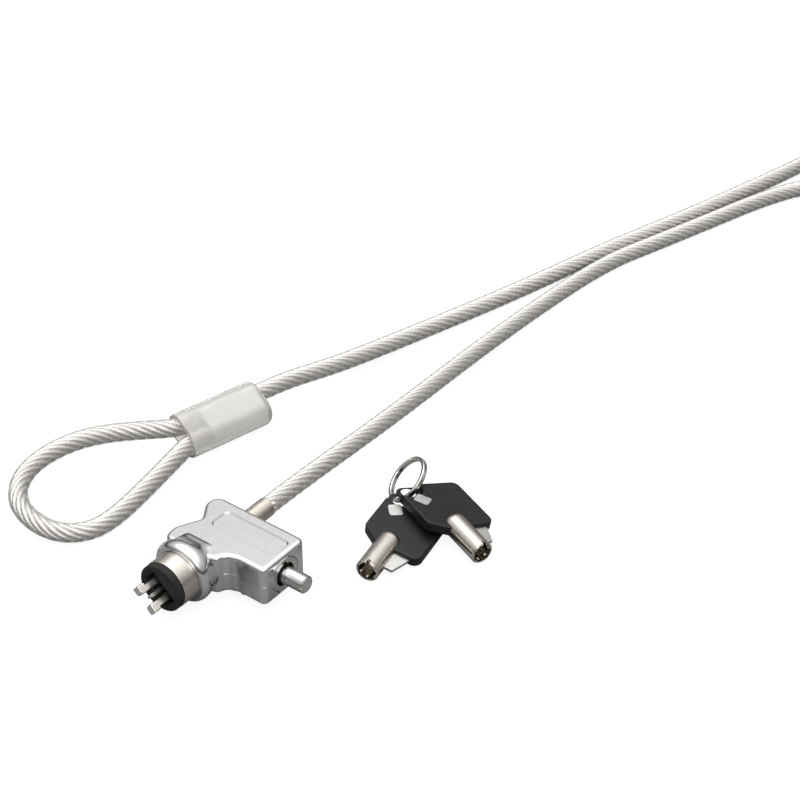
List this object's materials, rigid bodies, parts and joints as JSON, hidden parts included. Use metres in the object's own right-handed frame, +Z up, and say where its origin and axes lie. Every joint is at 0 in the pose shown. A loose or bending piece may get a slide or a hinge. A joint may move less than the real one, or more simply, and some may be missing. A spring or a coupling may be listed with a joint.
{
  "type": "laptop cable lock",
  "caption": "Computer security lock: chrome swivel-nose T-bar head with plunger lock, clear sheathed steel cable with crimped eye, tubular keys on a split ring.",
  "frame": {"origin": "bottom centre of the lock head and keys together, on the table, leaving out the cable", "axes": "+X towards the keyed end of the head, -Y out of the nose, +Y along the cable, +Z up"},
  "size_m": [0.1763, 0.409, 0.019],
  "materials": {
    "chrome": "polished chrome-plated zinc",
    "screw_steel": "plain steel",
    "lock_steel": "satin nickel-plated steel",
    "nickel": "brushed nickel",
    "rope_steel": "stranded steel",
    "pad_rubber": "matte black",
    "spring_steel": "spring wire",
    "claw_steel": "bright steel",
    "brass_core": "machined",
    "key_plastic": "satin black",
    "inlay_silver": "light metallic",
    "ring_steel": "bright nickel",
    "cable": "clear PVC sheath over silvery steel strands",
    "ferrule_metal": "crimped",
    "ferrule_pvc": "pearly translucent PVC",
    "tie": "black strap"
  },
  "bodies": {
    "housing": {"housing_upper": "chrome", "housing_lower": "chrome", "housing_screws": "screw_steel", "lock_cylinder": "lock_steel", "cylinder_set_pin": "screw_steel", "cable_sleeve": "nickel", "rope_end": "rope_steel", "plunger_spring": "spring_steel", "cable_head_run": "cable", "cable_coil": "cable", "cable_return_run": "cable", "cable_eye": "cable", "cable_crimped_legs": "cable", "ferrule_sleeve": "ferrule_metal", "ferrule_cover": "ferrule_pvc", "coil_tie": "tie"},
    "nose": {"nose_barrel": "nickel", "nose_pad": "pad_rubber", "nose_clip": "spring_steel", "claw_pivot_pins": "screw_steel", "pin_spring": "spring_steel"},
    "claw_left": {"claw_left": "claw_steel"},
    "claw_right": {"claw_right": "claw_steel"},
    "locking_pin": {"locking_pin": "claw_steel"},
    "key_core": {"key_core": "brass_core", "tumbler_pins": "brass_core", "tumbler_springs": "spring_steel"},
    "plunger": {"plunger": "lock_steel", "plunger_clip": "spring_steel"},
    "wedge": {"wedge": "lock_steel"},
    "split_ring": {"split_ring": "ring_steel"},
    "key_a": {"key_a_head": "key_plastic", "key_a_tube": "nickel", "key_a_fin": "nickel", "key_a_inlay": "inlay_silver"},
    "key_b": {"key_b_head": "key_plastic", "key_b_tube": "nickel", "key_b_fin": "nickel", "key_b_inlay": "inlay_silver"}
  },
  "joints": [
    {"name": "nose_swivel", "type": "hinge", "parent": "housing", "child": "nose", "pos_m": [-0.02481, -0.03803, 0.00956], "axis": [0, 1, 0], "continuous": true},
    {"name": "claw_left_squeeze", "type": "hinge", "parent": "nose", "child": "claw_left", "pos_m": [-0.02671, -0.03103, 0.01133], "axis": [0.682, 0, 0.7314], "range_deg": [0, 3.4], "stiffness_Nm_per_rad": 0.002, "springref_deg": -11.46},
    {"name": "claw_right_squeeze", "type": "hinge", "parent": "nose", "child": "claw_right", "pos_m": [-0.0229, -0.03103, 0.00779], "axis": [0.682, 0, 0.7314], "range_deg": [-3.4, 0], "stiffness_Nm_per_rad": 0.002, "springref_deg": 11.46},
    {"name": "key_turn", "type": "hinge", "parent": "housing", "child": "key_core", "pos_m": [-0.00921, -0.01693, 0.00956], "axis": [1, 0, 0], "range_deg": [0, 90]},
    {"name": "plunger_push", "type": "slide", "parent": "key_core", "child": "plunger", "axis": [-1, 0, 0], "range_m": [0, 0.004], "stiffness_N_per_m": 250, "springref_m": -0.002, "deforming": ["plunger_spring"]},
    {"name": "wedge_slide", "type": "slide", "parent": "housing", "child": "wedge", "axis": [-1, 0, 0], "range_m": [0, 0.004]},
    {"name": "pin_slide", "type": "slide", "parent": "nose", "child": "locking_pin", "axis": [0, -1, 0], "range_m": [0, 0.0024], "deforming": ["pin_spring"]},
    {"name": "keys_lift", "type": "slide", "parent": "housing", "child": "split_ring", "axis": [0, 0, 1], "range_m": [0, 0.06]},
    {"name": "key_a_swing", "type": "hinge", "parent": "split_ring", "child": "key_a", "pos_m": [0.00014, 0.03323, 0.00399], "axis": [0.1126, 0.0277, 0.9933], "range_deg": [-6, 0]},
    {"name": "key_b_swing", "type": "hinge", "parent": "split_ring", "child": "key_b", "pos_m": [0.00196, 0.03455, 0.00715], "axis": [0.1101, 0.1817, 0.9772], "range_deg": [0, 8]}
  ],
  "couplings": [
    {"joint": "wedge_slide", "follows": "plunger_push", "ratio": 1},
    {"joint": "pin_slide", "follows": "plunger_push", "ratio": 0.6}
  ]
}
